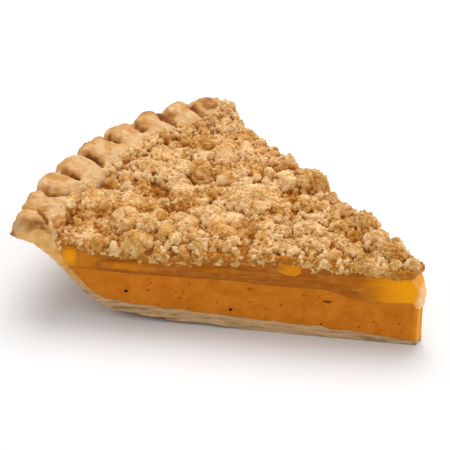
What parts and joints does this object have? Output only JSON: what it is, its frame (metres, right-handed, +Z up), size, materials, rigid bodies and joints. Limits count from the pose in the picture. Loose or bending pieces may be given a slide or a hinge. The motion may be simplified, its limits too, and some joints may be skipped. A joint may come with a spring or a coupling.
{
  "type": "slice of pie",
  "caption": "Wedge of peach sweet potato pie with a fluted pastry rim, smooth filling, sliced peaches in jelly and a crumb topping; a dish to serve and eat.",
  "frame": {"origin": "on the flat underside, half way along the slice and on its centre line from the middle of the whole pie", "axes": "+X to the tip of the slice, +Y to the far cut, +Z up from the table"},
  "size_m": [0.1201, 0.1014, 0.0311],
  "materials": {
    "crust": "baked pastry, matt, browned on the flutes",
    "sweet_potato": "smooth moist puree, satin",
    "peach_jelly": "set fruit juice, glossy and translucent",
    "peach_flesh": "cooked peach, glossy and translucent",
    "crumb_topping": "baked butter crumbs, matt"
  },
  "bodies": {
    "root": {"crust": "crust", "sweet_potato_filling": "sweet_potato", "peach_jelly": "peach_jelly", "peach_slice_tip": "peach_flesh", "peach_slice_near_1": "peach_flesh", "peach_slice_near_2": "peach_flesh", "peach_slice_near_3": "peach_flesh", "peach_slice_near_4": "peach_flesh", "peach_slice_far_1": "peach_flesh", "peach_slice_far_2": "peach_flesh", "peach_slice_far_3": "peach_flesh", "crumb_topping": "crumb_topping"}
  },
  "joints": []
}
